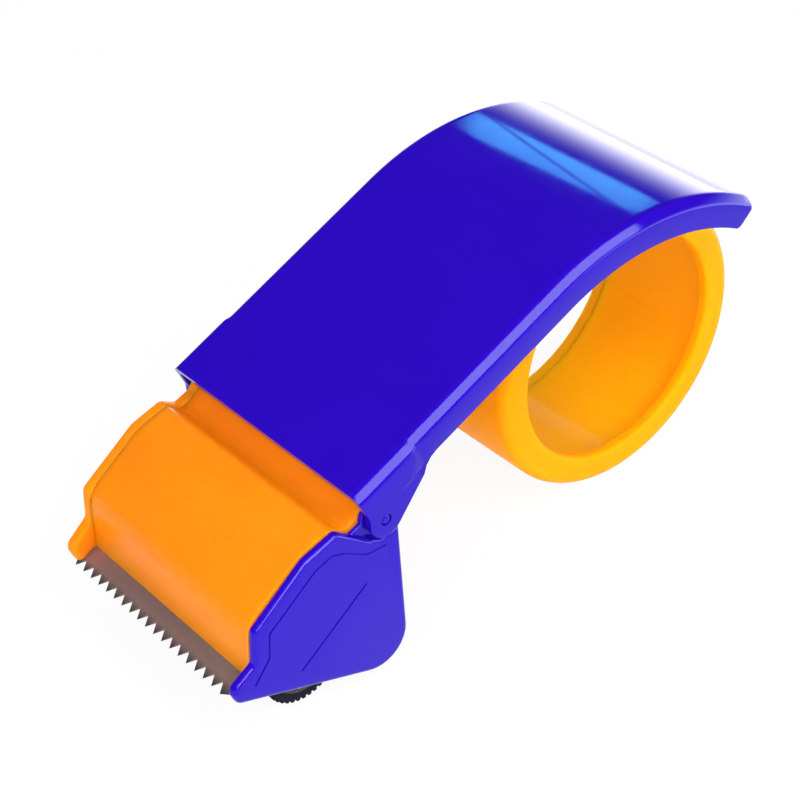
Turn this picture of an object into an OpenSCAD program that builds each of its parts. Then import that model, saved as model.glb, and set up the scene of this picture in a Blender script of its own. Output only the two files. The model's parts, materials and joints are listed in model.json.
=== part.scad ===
// Hand-held packing tape dispenser: a hinged handle cover arches over a tape
// drum, and a head at the front holds a pressing roller and a serrated blade.
// X runs along the drum's axis, Y to the rear, and Z up from the table.
// Side profiles are drawn as [y, z] from the drum's axis.

/* [Tape drum] */
// Outside diameter of the drum, loose in a 76 mm tape core
drum_od = 75; // [66:0.5:80]
// Length of the drum from the side wall to its free end
drum_len = 37.2; // [25:0.1:45]
// Wall of the drum's tube
drum_wall = 2.4; // [1.8:0.1:4]
// Diameter of the opening in the drum's free end
drum_mouth_d = 59; // [40:0.5:64]
// Thickness of the face at the drum's free end
drum_face_t = 3; // [2:0.1:6]

/* [Handle cover] */
// Outside radius of the arch over the drum
arch_r = 65; // [58:0.5:75]
// Angle of the arch behind its crown
arch_rear_angle = 25.5; // [15:0.5:32]
// Slope of the straight part of the cover
cover_slope = 27.5; // [24:0.5:31]
// Length of the straight part of the cover
cover_straight = 64.3; // [58:0.1:72]
// Thickness of the cover's top
cover_t = 2.6; // [2:0.1:3.4]
// Thickness of the skirts and hinge arms
skirt_t = 2.2; // [1.6:0.1:3]
// Depth of the skirts below the cover's top
skirt_depth = 6.9; // [5:0.1:9]
// Chamfer along the cover's two long edges
edge_chamfer = 2.6; // [1:0.1:3]
// Slant of the rear end away from square
end_slant = 20; // [0:1:30]
// Depth of the lip under the cover's front edge
lip_depth = 5; // [3.5:0.1:6]
// Thickness of the lip
lip_t = 2.4; // [1.5:0.1:3]

/* [Hinge] */
// Distance of the hinge in front of the drum's axis
hinge_ahead = 90.3; // [84:0.1:100]
// Height of the hinge above the drum's axis
hinge_up = 5.9; // [3:0.1:9]
// Distance from the hinge square up to the cover's top
arm_drop = 10.9; // [10:0.1:13]
// Reach of the cover's front edge beyond the hinge
front_reach = 3; // [1.5:0.1:3.6]
// Radius of the round end of a hinge arm
arm_r = 4.2; // [3.5:0.1:5]
// Radius of a hinge pin
hinge_pin_r = 1.5; // [1:0.05:2]

/* [Head] */
// Width of the head over its two side plates
head_w = 60.4; // [54:0.1:70]
// Thickness of a side plate
plate_t = 2.8; // [2.4:0.1:4]
// Thickness of the raised panel outside the right cheek
panel_t = 1.4; // [0.8:0.1:1.8]
// Height of the rim on that panel
rim_h = 0.5; // [0.3:0.1:0.8]
// Width of that rim
rim_w = 2.2; // [1.5:0.1:3]
// Thickness of the front shield's wall
shield_t = 2.2; // [1.6:0.1:2.8]

/* [Blade] */
// Tilt of the blade below level
blade_tilt = 32.6; // [26:0.2:38]
// Thickness of the blade
blade_t = 0.8; // [0.5:0.1:1.2]
// Depth of the blade from its points to its back edge
blade_depth = 16; // [14:0.1:18]
// Depth of blade that shows in front of the shield
blade_show = 5.9; // [4:0.1:7]
// Number of teeth
teeth = 19; // [12:1:26]
// Depth of a tooth
tooth_depth = 2.6; // [1.5:0.1:3.5]
// Thickness of the bar that clamps the blade
bar_t = 1.2; // [0.8:0.1:1.4]

/* [Tape roller] */
// Outside diameter of the ribbed roller
roller_od = 20; // [17:0.1:21]
// Distance of the roller's axis in front of the hinge
roller_ahead = 17.4; // [16:0.1:20]
// Wall of the rubber sleeve
sleeve_t = 2.5; // [1.5:0.1:3]
// Number of ribs on the sleeve
ribs = 40; // [24:1:60]
// Depth of the grooves between the ribs
rib_depth = 0.6; // [0.3:0.1:1]
// Radius of the steel axle
axle_r = 2; // [1.5:0.1:2.6]
// Depth of the axle's sockets in the side plates
socket_depth = 1.9; // [1:0.1:2.1]

/* [Hidden] */
$fn = 64;

orange = [1.0, 0.53, 0.09];
blue = [0.2, 0.09, 0.78];
steel = [0.62, 0.6, 0.58];
black = [0.1, 0.09, 0.11];
nylon = [0.9, 0.9, 0.86];

// clearances
hinge_gap = 0.4;
running = 0.05;
press = 0.01;
rest_gap = 0.5;
end_play = 0.4;
screw_clear = 0.2;
blade_clear = 0.15;
foot_gap = 0.2;
swing_clear = 0.6;
splice = 1;
hair = 0.1;
sink = 0.3;

// widths across the part
plate_out = head_w / 2;
plate_in = plate_out - plate_t;
skirt_in = plate_out + hinge_gap;
skirt_out = skirt_in + skirt_t;
drum_r = drum_od / 2;
drum_bore_r = drum_r - drum_wall;
drum_x0 = -plate_in;

// groove at the drum's root, so that a core seats square against the wall
root_groove_w = 1;
root_groove_depth = 0.6;

// corners of the head's side outline as [y, z] steps, from the hinge or from the roller's axis
rear_from_hinge = [4.2, -3.5];
brow_from_hinge = [-21.6, -0.2];
ridge_from_hinge = [-14.3, 3.3];
valley_from_hinge = [-10.3, 1.3];
recess_from_hinge = [-3.9, -3.9];
nose_from_roller = [-17.1, 22.3];
ear_root_from_roller = [-16.7, 14.3];
ear_from_roller = [-23.3, 9.3];
chin_from_roller = [-20.7, 3.9];
tip_from_roller = [-21.3, 3.5];
rear_foot_back = 7.1;
rear_foot_drop = 9.1;
rear_foot_r = 7;
chin_r = 3;
ear_r = 1.5;
nose_r = 2;
brow_r = 4;
valley_r = 1.5;

// the shield's surface, from the trough's rear end under the cover to the nose
trough_end_from_hinge = [4, -5.5];
trough_from_hinge = [-9, -1.2];
ridge_inset = [0.1, -1];
nose_inset = [1, -0.2];

// side wall's web between the head and the drum
web_back = 6;
web_drop = 24;
web_crown_angle = 80;
web_steps = 12;
web_foot = [-0.6, -0.7];

// hinge arm: where its rear edge leaves the skirt, and how far it is let into the skirt
throat_back = 16;
throat_r = 5;
arm_let_in = 8;

// hinge axis, roller axis and blade points
hinge = [-hinge_ahead, hinge_up];
roller_at = [hinge[0] - roller_ahead, roller_od / 2 - drum_r];
blade_tip = roller_at + tip_from_roller;

// the cover is laid out from the hinge, along and square to its slope
along = [-cos(cover_slope), -sin(cover_slope)];
square_up = [-sin(cover_slope), cos(cover_slope)];
arch_centre = on_slope(front_reach - cover_straight, arm_drop - arch_r);

// outline of the head, from the hinge at the top and the roller below
rear_top = hinge + rear_from_hinge;
rear_bottom = [hinge[0] + rear_foot_back, roller_at[1] - rear_foot_drop];
front_bottom = roller_at + chin_from_roller;
ear_tip = roller_at + ear_from_roller;
ear_root = roller_at + ear_root_from_roller;
nose = roller_at + nose_from_roller;
brow = hinge + brow_from_hinge;
ridge = hinge + ridge_from_hinge;
valley = hinge + valley_from_hinge;
recess = hinge + recess_from_hinge;
head_outline = rounded(
    [rear_top, rear_bottom, front_bottom, ear_tip, ear_root, nose, brow, ridge, valley, recess],
    [0, rear_foot_r, chin_r, ear_r, nose_r, nose_r, brow_r, nose_r, valley_r, 0]
);
rim_path = [ridge, brow, nose, ear_root, ear_tip, front_bottom];

// front shield, from the trough under the cover's lip to the blade
shield_foot = on_blade(blade_show, 0);
shield_path = [
    hinge + trough_end_from_hinge, hinge + trough_from_hinge,
    ridge + ridge_inset, nose + nose_inset, shield_foot
];

// fasteners
screw_r = 1.4;
screw_head_r = 2.8;
screw_head_h = 1.8;
tie_screw_len = 12;
tie_boss_r = 3;
tie_from_hinge = [[-16.7, -7.4], [1, -15]];
tie_places = [for (step = tie_from_hinge) hinge + step];
drum_screw_angles = [60, 150, 240];
drum_boss_r = 3.4;
drum_boss_len = 10;
drum_screw_len = 9;
drum_boss_let_in = 0.5;
drum_screw_ring = drum_bore_r + drum_boss_let_in - drum_boss_r;
lug_r = 4.5;
blade_screw_r = 1.1;
blade_screw_head_r = 2;
blade_screw_head_h = 1.2;
blade_screw_x = 18;
blade_screw_back = 11;
blade_screw_bite = 2.4;
seat_t = 3;
seat_front = blade_show + shield_t / 2;
bar_back = 7.5;
bar_depth = 7;
bar_side_gap = 0.5;

// square land left above the slanted rear end
end_land = 0.8;

// roller pieces
roller_half = plate_in - end_play;
bush_flange_t = 0.8;
bush_flange_r = 5.8;
bush_len = 8;
bush_r = 4.6;
core_half = roller_half - bush_flange_t;
core_r = roller_od / 2 - sleeve_t;
axle_half = plate_in + socket_depth - end_play / 2;
groove_share = 0.45;

// the part stands on Z = 0, centred between the ear's tip and the drum's rear
front_y = min([for (p = head_outline) p[0]]);
stand = [0, -(front_y + drum_r) / 2, drum_r];

// a point given along the cover's slope from the hinge and square to it
function on_slope(u, w) = hinge + u * along + w * square_up;

// a point given back along the blade from its points and square above it
function on_blade(back, up) = blade_tip
    + back * [cos(blade_tilt), sin(blade_tilt)]
    + up * [-sin(blade_tilt), cos(blade_tilt)];

function unit(v) = v / norm(v);

function arc(centre, radius, from, to, steps) = [
    for (i = [0:steps]) let (a = from + (to - from) * i / steps) centre + radius * [cos(a), sin(a)]
];

// one corner of an outline, rounded by a radius
function corner(before, at, after, radius) =
    radius == 0 ? [at] :
    let (
        u = unit(before - at),
        v = unit(after - at),
        half = acos(u * v) / 2,
        centre = at + unit(u + v) * radius / sin(half),
        a = at + u * radius / tan(half) - centre,
        b = at + v * radius / tan(half) - centre,
        from = atan2(a[1], a[0]),
        turn = atan2(a[0] * b[1] - a[1] * b[0], a * b)
    ) arc(centre, radius, from, from + turn, 6);

// a closed outline with a radius at each corner
function rounded(points, radii) = [
    for (i = [0:len(points) - 1])
        let (last = len(points))
        each corner(points[(i + last - 1) % last], points[i], points[(i + 1) % last], radii[i])
];

// a path moved sideways by a distance, with mitred corners
function side_of(p, q) = let (d = unit(q - p)) [-d[1], d[0]];
function moved(path, distance) = [
    for (i = [0:len(path) - 1])
        let (
            before = side_of(path[max(i - 1, 0)], path[max(i, 1)]),
            after = side_of(path[min(i, len(path) - 2)], path[min(i + 1, len(path) - 1)]),
            mitre = before + after
        ) path[i] + mitre * 2 * distance / (mitre * mitre)
];
function band(path, distance) = concat(path, [for (i = [len(path) - 1:-1:0]) moved(path, distance)[i]]);

// where a line from a point touches a circle, on one side or the other
function touch(point, centre, radius, side) =
    let (
        v = point - centre,
        a = atan2(v[1], v[0]) + side * acos(radius / norm(v))
    ) centre + radius * [cos(a), sin(a)];

// a side profile in [y, z], extruded across the part
module across(x0, x1) {
    translate([x0, 0, 0])
        rotate([90, 0, 90])
            linear_extrude(x1 - x0)
                children();
}

// a round bar across the part
module bar(at, radius, x0, x1) {
    translate([x0, at[0], at[1]])
        rotate([0, 90, 0])
            cylinder(r = radius, h = x1 - x0);
}

// pieces on the blade's plane: x across, y back from the points, z above the blade
module on_blade_plane() {
    translate([0, blade_tip[0], blade_tip[1]])
        rotate([blade_tilt, 0, 0])
            children();
}

module at_blade_screws() {
    for (side = [-1, 1])
        translate([side * blade_screw_x, blade_screw_back, 0])
            children();
}

// pan-head screw driven from the left wall towards +X
module wall_screw(at, length) {
    bar(at, screw_head_r, -plate_out - screw_head_h, -plate_out);
    bar(at, screw_r, -plate_out - sink, -plate_out + length);
}

function drum_screw_at(angle) = drum_screw_ring * [cos(angle), sin(angle)];

// side wall that joins the head to the drum, just clear of the cover's underside
module wall_profile() {
    under_r = arch_r - cover_t - rest_gap;
    slope_start = on_slope(-web_back, arm_drop - cover_t - rest_gap);
    arch_edge = arc(arch_centre, under_r, 90 + cover_slope, web_crown_angle, web_steps);
    polygon(concat(
        [[rear_top[0], hinge[1]], slope_start],
        arch_edge,
        [[arch_edge[web_steps][0], 0], web_foot * drum_r, [rear_bottom[0] - plate_t, hinge[1] - web_drop]]
    ));
    polygon(head_outline);
    circle(r = drum_r - root_groove_depth);
    translate(hinge)
        circle(r = arm_r);
}

// the blade's slot in the left wall, and the open space under the blade's points
module blade_slot() {
    on_blade_plane() {
        translate([-plate_out - 1, -tooth_depth, -blade_t - blade_clear])
            cube([plate_t + 2, blade_depth + tooth_depth + blade_clear, blade_t + blade_clear]);
        translate([-plate_out - 1, -2 * tooth_depth, -blade_depth])
            cube([plate_t + 2, blade_show + 2 * tooth_depth, blade_depth - blade_t]);
    }
}

// the shield's wall, cut just above the blade, and the blade's seat behind it
module shield() {
    difference() {
        across(-plate_in - sink, plate_in)
            polygon(band(shield_path, shield_t));
        on_blade_plane()
            translate([-plate_out, 0, foot_gap - 2 * shield_t])
                cube([head_w, blade_depth, 2 * shield_t]);
    }
    on_blade_plane()
        translate([-plate_in - sink, seat_front, 0])
            cube([2 * plate_in + sink - bar_side_gap, blade_depth - seat_front, seat_t]);
}

module body_frame() {
    color(orange)
        difference() {
            union() {
                difference() {
                    across(-plate_out, -plate_in)
                        wall_profile();
                    bar([0, 0], drum_bore_r, -plate_out - 1, -plate_in + 1);
                    blade_slot();
                }
                for (angle = drum_screw_angles)
                    bar(drum_screw_at(angle), lug_r, -plate_out, -plate_in);
                shield();
            }
            for (angle = drum_screw_angles)
                bar(drum_screw_at(angle), screw_r + screw_clear, -plate_out - 1, -plate_in + 1);
            for (at = tie_places)
                bar(at, screw_r + screw_clear, -plate_out - 1, -plate_in + 1);
            bar(hinge, hinge_pin_r + press, -plate_out - 1, -plate_in + 1);
            bar(roller_at, axle_r + press, -plate_in - socket_depth, -plate_in + 1);
            on_blade_plane()
                at_blade_screws()
                    translate([0, 0, -1])
                        cylinder(r = blade_screw_r + press, h = blade_screw_bite + 1.2);
        }
}

module tape_drum() {
    color(orange)
        difference() {
            union() {
                difference() {
                    union() {
                        bar([0, 0], drum_r - root_groove_depth, drum_x0, drum_x0 + root_groove_w + sink);
                        bar([0, 0], drum_r, drum_x0 + root_groove_w, drum_x0 + drum_len);
                    }
                    bar([0, 0], drum_bore_r, drum_x0 - 1, drum_x0 + drum_len - drum_face_t);
                }
                for (angle = drum_screw_angles)
                    bar(drum_screw_at(angle), drum_boss_r, drum_x0, drum_x0 + drum_boss_len);
            }
            bar([0, 0], drum_mouth_d / 2, drum_x0 + drum_len - drum_face_t - 1, drum_x0 + drum_len + 1);
            for (angle = drum_screw_angles)
                bar(drum_screw_at(angle), screw_r + press, drum_x0 - 1, drum_x0 + drum_screw_len);
        }
}

module drum_screws() {
    color(steel)
        for (angle = drum_screw_angles)
            wall_screw(drum_screw_at(angle), drum_screw_len);
}

module right_cheek() {
    color(blue)
        difference() {
            union() {
                across(plate_in, plate_out) {
                    polygon(head_outline);
                    translate(hinge)
                        circle(r = arm_r);
                }
                difference() {
                    union() {
                        across(plate_out - sink, plate_out + panel_t)
                            polygon(head_outline);
                        across(plate_out, plate_out + panel_t + rim_h)
                            intersection() {
                                polygon(head_outline);
                                polygon(band(rim_path, rim_w));
                            }
                    }
                    bar(hinge, arm_r + swing_clear, plate_out, plate_out + panel_t + 1);
                }
                for (at = tie_places)
                    bar(at, tie_boss_r, -plate_in, plate_in + sink);
            }
            for (at = tie_places)
                bar(at, screw_r + press, -plate_in - 1, -plate_out + tie_screw_len + 1);
            bar(hinge, hinge_pin_r + press, plate_in - 1, plate_out + 1);
            bar(roller_at, axle_r + press, plate_in - 1, plate_in + socket_depth);
        }
}

module tie_screws() {
    color(steel)
        for (at = tie_places)
            wall_screw(at, tie_screw_len);
}

// channel section of the cover: radius from the arch's centre, then width
module cover_section(inset) {
    top = arch_r - inset;
    low = arch_r - skirt_depth + inset;
    under = arch_r - cover_t + inset;
    bevel = arch_r - edge_chamfer;
    out = skirt_out - inset;
    in = skirt_in + inset;
    flat = skirt_out - edge_chamfer;
    polygon([
        [low, out], [bevel, out], [top, flat], [top, -flat], [bevel, -out],
        [low, -out], [low, -in], [under, -in], [under, in], [low, in]
    ]);
}

// the straight part ends inside the arch, a hair thinner, so that the two fuse
module cover_sweep() {
    translate([0, arch_centre[0], arch_centre[1]])
        rotate([90, 0, 90]) {
            rotate([0, 0, 90 - arch_rear_angle])
                rotate_extrude(angle = arch_rear_angle + cover_slope, $fn = 180)
                    cover_section(0);
            rotate([0, 0, 90 + cover_slope])
                translate([0, cover_straight, 0])
                    rotate([90, 0, 0])
                        linear_extrude(cover_straight + splice)
                            cover_section(hair);
        }
}

// hinge arm hanging from a skirt's front end
module arm_profile() {
    front = on_slope(front_reach, arm_drop - edge_chamfer);
    throat = on_slope(-throat_back, arm_drop - skirt_depth);
    behind = on_slope(-throat_back - arm_let_in, arm_drop - skirt_depth);
    above = on_slope(-throat_back - arm_let_in, arm_drop - edge_chamfer);
    polygon(rounded(
        [above, front, touch(front, hinge, arm_r, 1), touch(throat, hinge, arm_r, -1), throat, behind],
        [0, 0, 0, 0, throat_r, 0]
    ));
    translate(hinge)
        circle(r = arm_r);
}

module rear_cut() {
    end_angle = 90 - arch_rear_angle;
    end = arch_centre + (arch_r - end_land) * [cos(end_angle), sin(end_angle)];
    inward = [cos(end_angle + 180 - end_slant), sin(end_angle + 180 - end_slant)];
    low = end + 3 * skirt_depth * inward;
    across(-skirt_out - 1, skirt_out + 1)
        polygon([end, low, low + [3 * skirt_depth, 0]]);
}

module handle_cover() {
    color(blue)
        difference() {
            union() {
                cover_sweep();
                for (side = [0, 1])
                    mirror([side, 0, 0])
                        across(skirt_in, skirt_out)
                            arm_profile();
                across(-skirt_in - sink, skirt_in + sink)
                    polygon([
                        on_slope(front_reach, arm_drop - cover_t / 2),
                        on_slope(front_reach - lip_t, arm_drop - cover_t / 2),
                        on_slope(front_reach - lip_t, arm_drop - lip_depth),
                        on_slope(front_reach, arm_drop - lip_depth)
                    ]);
            }
            rear_cut();
            bar(hinge, hinge_pin_r + running, -skirt_out - 1, skirt_out + 1);
        }
}

module hinge_pins() {
    color(blue)
        for (side = [0, 1])
            mirror([side, 0, 0])
                bar(hinge, hinge_pin_r, plate_in, skirt_out);
}

module cutting_blade() {
    pitch = (plate_out + plate_in) / teeth;
    color(steel)
        on_blade_plane()
            difference() {
                translate([-plate_out, 0, -blade_t])
                    linear_extrude(blade_t)
                        polygon(concat(
                            [for (i = [0:teeth - 1]) each [[i * pitch, tooth_depth], [(i + 0.5) * pitch, 0]]],
                            [[teeth * pitch, tooth_depth], [teeth * pitch, blade_depth], [0, blade_depth]]
                        ));
                at_blade_screws()
                    translate([0, 0, -blade_t - 1])
                        cylinder(r = blade_screw_r + screw_clear, h = blade_t + 2);
            }
}

module blade_bar() {
    half = plate_in - bar_side_gap;
    color(steel)
        on_blade_plane()
            difference() {
                translate([-half, bar_back, -blade_t - bar_t])
                    cube([2 * half, bar_depth, bar_t]);
                at_blade_screws()
                    translate([0, 0, -blade_t - bar_t - 1])
                        cylinder(r = blade_screw_r + screw_clear, h = bar_t + 2);
            }
}

module blade_screws() {
    color(steel)
        on_blade_plane()
            at_blade_screws() {
                translate([0, 0, -blade_t - bar_t - blade_screw_head_h])
                    cylinder(r = blade_screw_head_r, h = blade_screw_head_h);
                translate([0, 0, -blade_t - bar_t - sink])
                    cylinder(r = blade_screw_r, h = blade_t + bar_t + blade_screw_bite);
            }
}

module roller_axle() {
    color(steel)
        bar(roller_at, axle_r, -axle_half, axle_half);
}

module roller_bushes() {
    color(nylon)
        for (side = [0, 1])
            mirror([side, 0, 0])
                difference() {
                    union() {
                        bar(roller_at, bush_r, core_half - bush_len, roller_half);
                        bar(roller_at, bush_flange_r, core_half, roller_half);
                    }
                    bar(roller_at, axle_r + running, core_half - bush_len - 1, roller_half + 1);
                }
}

module roller_core() {
    color(black)
        difference() {
            bar(roller_at, core_r, -core_half, core_half);
            bar(roller_at, bush_r + press, -core_half - 1, core_half + 1);
        }
}

// rubber sleeve with straight grooves that leave ribs along its length
module roller_sleeve() {
    groove_w = groove_share * PI * roller_od / ribs;
    color(black)
        difference() {
            bar(roller_at, roller_od / 2, -core_half, core_half);
            bar(roller_at, core_r + press, -core_half - 1, core_half + 1);
            for (i = [0:ribs - 1])
                translate([0, roller_at[0], roller_at[1]])
                    rotate([(i + 0.5) * 360 / ribs, 0, 0])
                        translate([-core_half - 1, -groove_w / 2, roller_od / 2 - rib_depth])
                            cube([2 * core_half + 2, groove_w, 2 * rib_depth]);
        }
}

translate(stand) {
    body_frame();
    tape_drum();
    drum_screws();
    right_cheek();
    tie_screws();
    handle_cover();
    hinge_pins();
    cutting_blade();
    blade_bar();
    blade_screws();
    roller_axle();
    roller_bushes();
    roller_core();
    roller_sleeve();
}
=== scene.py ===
# %% [markdown]
# # A packing tape dispenser
# The dispenser is a hand tool in two colours of glossy plastic. An orange moulding carries the tape drum,
# the front shield and a steel blade, and a deep blue cover swings over the drum on two short arms.
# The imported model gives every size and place. Each cell makes one piece of it again, with the rounded
# edges and finishes of the real one, and lets it ride on the same moving body.

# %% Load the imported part
import json
import math
import bpy
from mathutils import Matrix, Vector


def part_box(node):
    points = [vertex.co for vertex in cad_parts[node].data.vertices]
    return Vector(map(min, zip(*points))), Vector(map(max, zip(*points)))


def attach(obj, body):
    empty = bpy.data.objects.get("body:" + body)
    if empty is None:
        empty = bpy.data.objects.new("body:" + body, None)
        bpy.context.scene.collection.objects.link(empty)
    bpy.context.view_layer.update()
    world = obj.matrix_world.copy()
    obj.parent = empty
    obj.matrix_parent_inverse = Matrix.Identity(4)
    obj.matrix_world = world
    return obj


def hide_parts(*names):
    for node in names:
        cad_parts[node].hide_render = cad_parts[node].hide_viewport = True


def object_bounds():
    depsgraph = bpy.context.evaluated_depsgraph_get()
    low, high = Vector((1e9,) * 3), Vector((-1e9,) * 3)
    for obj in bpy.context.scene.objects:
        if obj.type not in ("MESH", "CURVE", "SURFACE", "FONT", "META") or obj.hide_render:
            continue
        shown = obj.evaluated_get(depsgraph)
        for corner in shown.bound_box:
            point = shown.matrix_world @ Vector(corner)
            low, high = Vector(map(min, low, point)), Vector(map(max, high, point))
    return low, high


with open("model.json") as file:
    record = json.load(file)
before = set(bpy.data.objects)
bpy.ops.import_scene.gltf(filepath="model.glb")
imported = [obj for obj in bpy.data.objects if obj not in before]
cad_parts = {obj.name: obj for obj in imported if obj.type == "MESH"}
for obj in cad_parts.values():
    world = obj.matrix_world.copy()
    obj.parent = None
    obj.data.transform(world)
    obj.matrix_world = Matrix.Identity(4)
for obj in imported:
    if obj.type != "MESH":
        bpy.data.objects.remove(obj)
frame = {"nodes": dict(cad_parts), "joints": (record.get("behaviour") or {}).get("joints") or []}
cad_low, cad_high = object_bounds()
MM = 0.001
print("box of the part in mm:", [round(v / MM, 1) for v in cad_high - cad_low])

# %% [markdown]
# All profiles are drawn as the maker would: in millimetres, from the drum's axis, with y to the rear and
# z up. The frame says where that axis is, and where the hinge and the roller turn, so nothing is fitted
# by eye. `at` turns such a point into a place in the scene.

# %% Places taken from the frame
joints = {joint["name"]: joint for joint in frame["joints"]}
drum_low, drum_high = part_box("tape_drum")
drum_axis = (drum_low + drum_high) / 2
DRUM_R = (drum_high.z - drum_low.z) / 2 / MM


def at(x, y, z):
    return Vector((x * MM, drum_axis.y + y * MM, drum_axis.z + z * MM))


def from_drum(place):
    return (place[1] - drum_axis.y) / MM, (place[2] - drum_axis.z) / MM


HINGE = from_drum(joints["handle_hinge"]["pos_m"])
ROLLER = from_drum(joints["roller_spin"]["pos_m"])
COVER_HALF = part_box("handle_cover")[1].x / MM
WALL_OUT = -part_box("body_frame")[0].x / MM
WALL_IN = -drum_low.x / MM
DRUM_END = drum_high.x / MM
BORE_R = DRUM_R - 2.4
RING_X = DRUM_END + 0.7
RING_T = 3.0
for turning, place in (("hinge", HINGE), ("roller", ROLLER)):
    print(turning, "at", [round(v, 1) for v in place], "from the drum's axis")

# %% [markdown]
# Moulded plastic has no sharp corners. An outline is written as its few corners, each with a radius. These
# helpers turn every corner into a short arc, and move an outline to its inside.

# %% Outlines with rounded corners
LEAST_R = 0.05


def away(point, step):
    return point[0] + step[0], point[1] + step[1]


def corner_arc(before, here, after, radius, steps):
    if radius == 0:
        return [tuple(here)]
    here = Vector(here)
    to_before = (Vector(before) - here).normalized()
    to_after = (Vector(after) - here).normalized()
    half = to_before.angle(to_after) / 2
    centre = here + (to_before + to_after).normalized() * radius / math.sin(half)
    first = here + to_before * radius / math.tan(half) - centre
    last = here + to_after * radius / math.tan(half) - centre
    turn = math.atan2(first.cross(last), first.dot(last))
    spokes = [Matrix.Rotation(turn * i / steps, 2) @ first for i in range(steps + 1)]
    return [tuple(centre + spoke) for spoke in spokes]


def rounded(corners, steps=6, closed=True):
    """corners: [(y, z, radius), ...]. An open line keeps its two ends sharp."""
    points = [corner[:2] for corner in corners]
    made = []
    for i, (y, z, radius) in enumerate(corners):
        at_end = not closed and i in (0, len(corners) - 1)
        after = points[(i + 1) % len(points)]
        made += corner_arc(points[i - 1], (y, z), after, 0 if at_end else radius, steps)
    return made


def inset(corners, distance):
    """The corners of the same closed outline, moved this far to its inside."""
    points = [Vector(corner[:2]) for corner in corners]
    area = sum(a.cross(b) for a, b in zip(points, points[1:] + points[:1]))
    side = math.copysign(1, area)
    made = []
    for i, corner in enumerate(corners):
        before = (points[i] - points[i - 1]).normalized()
        after = (points[(i + 1) % len(points)] - points[i]).normalized()
        mitre = side * Vector((-before.y - after.y, before.x + after.x))
        place = points[i] + mitre * 2 * distance / mitre.dot(mitre)
        outward = math.copysign(1, side * before.cross(after))
        radius = max(corner[2] - outward * distance, LEAST_R) if corner[2] else 0
        made.append((*place, radius))
    return made


def arc(centre, radius, start, end, steps):
    """Points on a circle between two angles in degrees."""
    angles = [math.radians(start + (end - start) * i / steps) for i in range(steps + 1)]
    return [(centre[0] + radius * math.cos(a), centre[1] + radius * math.sin(a)) for a in angles]


# %% [markdown]
# Most pieces start in one of three ways. A plate is a filled ring of points that is extruded, and where its
# rims are rounded it grows ring by ring. A turned piece is a ring that is spun round an axis. A shell is an
# open line that is extruded and then given a wall. Each starts from Blender's circle, whose corners are
# moved to the outline.

# %% Modelling helpers
WELD = 0.002 * MM
SAME = 0.001 * MM
CLOSE = 0.01 * MM
RIM_STEPS = 6
HOLE_STEPS = 48


def edit(piece, select="SELECT"):
    bpy.ops.object.select_all(action="DESELECT")
    bpy.context.view_layer.objects.active = piece
    piece.select_set(True)
    bpy.ops.object.mode_set(mode="EDIT")
    bpy.ops.mesh.select_mode(type="VERT")
    bpy.ops.mesh.select_all(action=select)


def done():
    bpy.ops.object.mode_set(mode="OBJECT")
    return bpy.context.object


def ring(name, places, fill="NOTHING"):
    """A circle whose corners are moved to the given places."""
    bpy.ops.object.select_all(action="DESELECT")
    bpy.ops.mesh.primitive_circle_add(vertices=len(places), radius=MM, fill_type=fill)
    piece = bpy.context.object
    piece.name = piece.data.name = name
    for vertex, place in zip(piece.data.vertices, places):
        vertex.co = place
    return piece


def select_points(piece, chosen):
    edit(piece, "DESELECT")
    done()
    for vertex in piece.data.vertices:
        vertex.select = chosen(vertex.co)
    bpy.ops.object.mode_set(mode="EDIT")


def clean(piece):
    edit(piece)
    bpy.ops.mesh.remove_doubles(threshold=WELD)
    bpy.ops.mesh.normals_make_consistent(inside=False)
    return done()


def plate(name, outline, x0, x1, holes=()):
    """An outline in (y, z), with round holes (y, z, radius), extruded from x0 to x1."""
    piece = ring(name, [at(x0, y, z) for y, z in outline])
    edit(piece)
    for y, z, radius in holes:
        bpy.ops.mesh.primitive_circle_add(
            vertices=HOLE_STEPS, radius=radius * MM, location=at(x0, y, z), rotation=(0, math.pi / 2, 0)
        )
    bpy.ops.mesh.select_all(action="SELECT")
    bpy.ops.mesh.fill()
    bpy.ops.mesh.extrude_region_move(TRANSFORM_OT_translate={"value": ((x1 - x0) * MM, 0, 0)})
    done()
    return clean(piece)


def moulded(name, corners, x0, x1, near_edge, far_edge, holes=(), steps=6):
    """A plate whose two rims are quarter rounds of the given radii, built ring by ring."""
    turns = [math.radians(90 * i / RIM_STEPS) for i in range(RIM_STEPS + 1)]
    rim = [(1 - math.cos(turn), 1 - math.sin(turn)) for turn in turns]
    levels = [(x0 + near_edge * step, near_edge * inside) for step, inside in rim]
    levels += [(x1 - far_edge * step, far_edge * inside) for step, inside in rim[::-1]]
    outlines = [rounded(inset(corners, inside), steps) for _, inside in levels]
    piece = plate(name, outlines[0], levels[0][0], levels[1][0], holes)
    select_points(piece, lambda co: abs(co.x - levels[1][0] * MM) < SAME)
    for i in range(1, len(levels)):
        x = levels[i][0]
        if i > 1:
            step = ((x - levels[i - 1][0]) * MM, 0, 0)
            bpy.ops.mesh.extrude_region_move(TRANSFORM_OT_translate={"value": step})
        done()
        before = [at(x, *point) for point in outlines[i - 1]]
        for vertex in [v for v in piece.data.vertices if v.select]:
            gaps = [(place - vertex.co).length for place in before]
            if min(gaps) < CLOSE:
                vertex.co = at(x, *outlines[i][gaps.index(min(gaps))])
        bpy.ops.object.mode_set(mode="EDIT")
    done()
    return smooth(clean(piece))


def turned(name, profile, centre, steps=96):
    """A closed profile in (x, radius), spun round the line along X through centre (y, z)."""
    piece = ring(name, [at(x, centre[0], centre[1] + radius) for x, radius in profile])
    edit(piece)
    bpy.ops.mesh.spin(steps=steps, angle=2 * math.pi, center=at(0, *centre), axis=(1, 0, 0))
    done()
    return clean(piece)


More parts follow.
